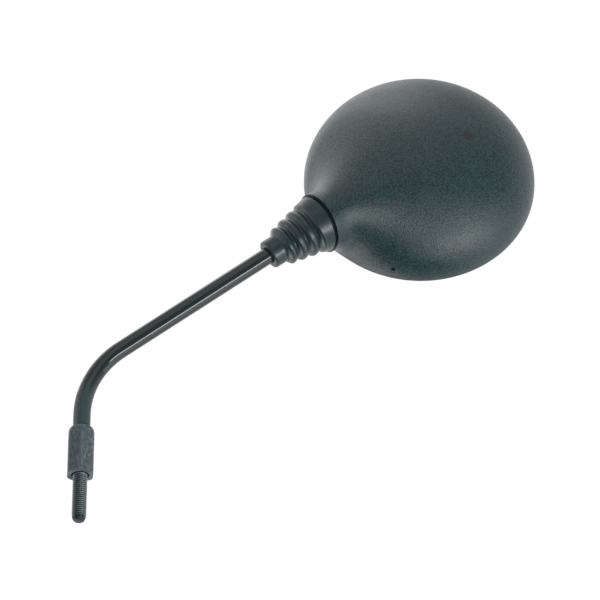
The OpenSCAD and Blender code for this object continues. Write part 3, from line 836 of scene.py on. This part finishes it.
def shell_plastic():
    """Satin moulded plastic: dark teal specks, a little dust and one brownish scuff."""
    f = Finish("shell_plastic", (0.002, 0.011, 0.013), 0.4)
    f.tint(f.effect("fine_grain", "Tone", Scale=1150.0), (0.024, 0.064, 0.072))
    f.tint(f.effect("dust", "Mask", Scale=45.0, Amount=0.10), DUST_GREY)
    f.tint(spot_mask(f.tree, SCUFF_PLACE, SCUFF_R), (0.012, 0.014, 0.011))
    f.rough_from(f.effect("dust", "Mask", Scale=70.0, Amount=1.0), 0.36, 0.44)
    f.bump(f.effect("fine_grain", "Height", Scale=1150.0, Coarse=0.5), 0.24)
    return f.material


def rod_paint():
    """Gloss paint on the leaning part, dull from wear on the upright part above the sleeve."""
    f = Finish("rod_paint", (0.012, 0.025, 0.028), 0.08)
    dull = spread(f.tree, height_of(f.tree), 62 * MM, 44 * MM)
    f.tint(dull, (0.030, 0.052, 0.057))
    haze = f.effect("dust", "Mask", Scale=120.0, Amount=0.2)
    f.rough_from(math_node(f.tree, "MAXIMUM", dull, haze), 0.06, 0.5)
    f.bump(f.effect("fine_grain", "Height", Scale=260.0, Coarse=0.2), 0.012)
    return f.material


def thread_steel():
    """Blackened steel, with a painted highlight on the crests of the thread."""
    f = Finish("thread_steel", (0.028, 0.045, 0.050), 0.40, metal=0.7)
    # Painted highlight: the crests of the thread are made lighter.
    f.tint(spread(f.tree, from_axis(f.tree), 3.45 * MM, 3.95 * MM), (0.20, 0.24, 0.26))
    f.tint(f.effect("dust", "Mask", Scale=300.0, Amount=0.6), (0.03, 0.034, 0.035))
    f.bump(f.effect("fine_grain", "Height", Scale=1800.0), 0.02)
    return f.material


def sleeve_coat():
    """Rough dull coat, with painted edge light on the corners and the lower end."""
    f = Finish("sleeve_coat", (0.058, 0.086, 0.095), 0.62, specular=0.25)
    f.tint(f.effect("fine_grain", "Tone", Scale=900.0), (0.150, 0.180, 0.190))
    blotches = f.effect("fine_grain", "Tone", Scale=380.0)
    f.tint(math_node(f.tree, "MULTIPLY", blotches, 0.6), (0.035, 0.075, 0.075))
    f.tint(f.effect("scuffs", "Mask", Scale=420.0, Amount=0.55), (0.21, 0.205, 0.23))
    # Painted edge light: the corners and the lower end are painted lighter, where edges catch the
    # light.
    corner_light = spread(f.tree, from_axis(f.tree), 7.3 * MM, 7.9 * MM)
    lower_end = spread(f.tree, height_of(f.tree), 0.5 * MM, 0.1 * MM)
    edges = math_node(f.tree, "MULTIPLY", math_node(f.tree, "MAXIMUM", corner_light, lower_end), 0.4)
    f.tint(edges, (0.200, 0.207, 0.232))
    f.rough_from(f.effect("dust", "Mask", Scale=200.0, Amount=1.0), 0.42, 0.6)
    f.bump(f.effect("fine_grain", "Height", Scale=1000.0, Coarse=0.8), 0.2)
    return f.material


def boot_rubber():
    """Dark rubber with a faint bloom."""
    f = Finish("boot_rubber", (0.013, 0.032, 0.038), 0.33)
    f.tint(f.effect("dust", "Mask", Scale=90.0, Amount=0.2), DUST_GREY)
    f.rough_from(f.effect("dust", "Mask", Scale=150.0, Amount=1.0), 0.30, 0.46)
    f.bump(f.effect("fine_grain", "Height", Scale=900.0, Coarse=0.5), 0.03)
    return f.material


def mirror():
    """Silvered glass with a trace of haze."""
    f = Finish("mirror", (0.86, 0.88, 0.89), 0.02, metal=1.0)
    f.rough_from(f.effect("dust", "Mask", Scale=40.0, Amount=1.0), 0.012, 0.035)
    return f.material


def foam():
    """Grey closed-cell foam."""
    f = Finish("foam", (0.045, 0.045, 0.047), 0.95, specular=0.2)
    f.tint(f.effect("fine_grain", "Tone", Scale=1400.0), (0.09, 0.09, 0.092))
    f.bump(f.effect("fine_grain", "Height", Scale=1600.0, Coarse=0.3), 0.3)
    return f.material


def plated(name, color, rough, scale):
    """Plated or bare steel with fine scratches and some grime."""
    f = Finish(name, color, rough, metal=1.0)
    scratches = f.effect("scuffs", "Mask", Scale=scale, Amount=1.0)
    f.rough_from(scratches, rough - 0.06, rough + 0.14)
    f.tint(f.effect("dust", "Mask", Scale=140.0, Amount=0.25), tuple(c * 0.5 for c in color))
    f.bump(f.effect("fine_grain", "Height", Scale=1500.0), 0.008)
    return f.material


def nylon():
    """Natural nylon of the ball's liner."""
    f = Finish("nylon", (0.72, 0.70, 0.63), 0.38)
    f.set("Subsurface Weight", 0.1)
    f.set("Subsurface Radius", (0.002, 0.0016, 0.001))
    f.tint(f.effect("dust", "Mask", Scale=120.0, Amount=0.3), (0.5, 0.47, 0.4))
    f.bump(f.effect("fine_grain", "Height", Scale=900.0), 0.01)
    return f.material


MATERIALS = {
    "shell_plastic": shell_plastic(),
    "rod_paint": rod_paint(),
    "thread_steel": thread_steel(),
    "sleeve_coat": sleeve_coat(),
    "boot_rubber": boot_rubber(),
    "mirror": mirror(),
    "foam": foam(),
    "ball_steel": plated("ball_steel", (0.62, 0.62, 0.62), 0.16, 300.0),
    "plate_steel": plated("plate_steel", (0.55, 0.56, 0.57), 0.34, 240.0),
    "fixing_steel": plated("fixing_steel", (0.58, 0.55, 0.42), 0.30, 420.0),
    "spring_steel": plated("spring_steel", (0.25, 0.25, 0.27), 0.36, 420.0),
    "nylon": nylon(),
}

KEPT_NODES = {
    "ball": "ball_steel",
    "ball_liner": "nylon",
    "clamp_back": "plate_steel",
    "clamp_front": "plate_steel",
    "tension_bolt": "fixing_steel",
    "tension_nut": "fixing_steel",
    "disc_springs": "spring_steel",
    "mount_screws": "fixing_steel",
}
for node, finish in KEPT_NODES.items():
    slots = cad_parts[node].data.materials
    slots.clear()
    slots.append(MATERIALS[finish])

bar()
sleeve()
boot()
shell()
glass()
foams()


# ---- light, floor and camera


LAMP_AIM, LAMP_REACH = (0.16, 0.0, 0.17), 1.6
LAMPS = {  # direction from the aim, width and height in metres, power in watts
    "side_lamp": ((0.68, -0.47, -0.55), (0.32, 0.9), 9.5),
    "right_lamp": ((0.85, 0.0, -0.5), (1.0, 1.0), 3.3),
    "low_lamp": ((0.31, -0.52, -0.80), (1.15, 0.7), 10.5),
    "top_lamp": ((-0.15, -0.05, 0.95), (1.6, 0.8), 4.5),
    "back_lamp": ((-0.5, 0.5, 0.66), (1.2, 1.2), 2.5),
    "left_lamp": ((-0.9, -0.1, 0.25), (0.8, 0.8), 2.5),
    "rim_lamp": ((-0.5, 0.6, -0.6), (0.8, 0.8), 5.0),
    "front_lamp": ((0.1, -0.8, 0.5), (1.4, 1.4), 4.0),
}


def lights():
    """Large soft lamps round the mirror, all turned to one point."""
    for name, (way, size, power) in LAMPS.items():
        light = bpy.data.lights.new(name, "AREA")
        light.shape = "RECTANGLE"
        light.size, light.size_y = size
        light.energy = power
        obj = bpy.data.objects.new(name, light)
        direction = Vector(way).normalized()
        obj.location = Vector(LAMP_AIM) + direction * LAMP_REACH
        obj.rotation_euler = direction.to_track_quat("Z", "Y").to_euler()
        bpy.context.scene.collection.objects.link(obj)


def toward(tree, way, near, far):
    """Mask for the room's directions round one: 1 within near degrees of it, 0 past far."""
    dot = tree.nodes.new("ShaderNodeVectorMath")
    dot.operation = "DOT_PRODUCT"
    dot.inputs[1].default_value = Vector(way).normalized()
    tree.links.new(tree.nodes.new("ShaderNodeTexCoord").outputs["Generated"], dot.inputs[0])
    least, most = math.cos(math.radians(far)), math.cos(math.radians(near))
    return spread(tree, dot.outputs["Value"], least, most)


def studio_room():
    """White room, dimmer behind the camera and below, and plain white to the camera itself."""
    world = bpy.data.worlds.new("studio")
    world.use_nodes = True
    tree = world.node_tree
    tree.nodes.clear()
    seen = tree.nodes.new("ShaderNodeLightPath").outputs
    mirrored = math_node(tree, "ADD", seen["Is Glossy Ray"], seen["Is Transmission Ray"], True)
    below = math_node(tree, "MULTIPLY", toward(tree, (-0.1, -0.1, -1.0), 20, 60), 0.95)
    front = math_node(tree, "MULTIPLY", toward(tree, (0.3, -1.0, 0.15), 25, 85), 0.72)
    room = math_node(tree, "SUBTRACT", math_node(tree, "SUBTRACT", 1.0, below), front, True)
    soft_light = 0.45
    unseen = math_node(tree, "MULTIPLY", math_node(tree, "MAXIMUM", mirrored, soft_light), room)
    power = math_node(tree, "MAXIMUM", unseen, seen["Is Camera Ray"])
    light = tree.nodes.new("ShaderNodeBackground")
    light.inputs["Color"].default_value = (1.0, 1.0, 1.0, 1.0)
    tree.links.new(power, light.inputs["Strength"])
    out = tree.nodes.new("ShaderNodeOutputWorld")
    tree.links.new(light.outputs["Background"], out.inputs["Surface"])
    bpy.context.scene.world = world


def floor():
    """Pale floor under the stud, clear from below, because the camera looks up at the mirror."""
    far, height = 3.0, -(STUD_LEN + 0.5) * MM
    corners = [(-far, -far, height), (far, -far, height), (far, far, height), (-far, far, height)]
    obj = piece("studio_floor", corners, [(0, 1, 2, 3)], Matrix.Identity(4))
    material = bpy.data.materials.new("studio_floor")
    material.use_nodes = True
    tree = material.node_tree
    surface = tree.nodes["Principled BSDF"]
    surface.inputs["Base Color"].default_value = (0.82, 0.83, 0.84, 1.0)
    surface.inputs["Roughness"].default_value = 0.7
    clear = tree.nodes.new("ShaderNodeBsdfTransparent")
    below = tree.nodes.new("ShaderNodeNewGeometry").outputs["Backfacing"]
    mix = tree.nodes.new("ShaderNodeMixShader")
    tree.links.new(below, mix.inputs["Fac"])
    tree.links.new(surface.outputs["BSDF"], mix.inputs[1])
    tree.links.new(clear.outputs["BSDF"], mix.inputs[2])
    tree.links.new(mix.outputs["Shader"], tree.nodes["Material Output"].inputs["Surface"])
    obj.data.materials.append(material)
    obj.visible_shadow = False
    obj.visible_glossy = False
    obj.visible_diffuse = False


def camera():
    """Long lens from the front, 31 degrees under the level, as in the photograph."""
    data = bpy.data.cameras.new("camera")
    data.sensor_width = 36.0
    data.lens = 253.8
    data.clip_end = 20.0
    obj = bpy.data.objects.new("camera", data)
    obj.location = (0.1192, -2.0148, -1.0996)
    obj.rotation_euler = (math.radians(121), 0, 0)
    bpy.context.scene.collection.objects.link(obj)
    bpy.context.scene.camera = obj


lights()
studio_room()
floor()
camera()
bpy.context.scene.view_settings.view_transform = "Standard"
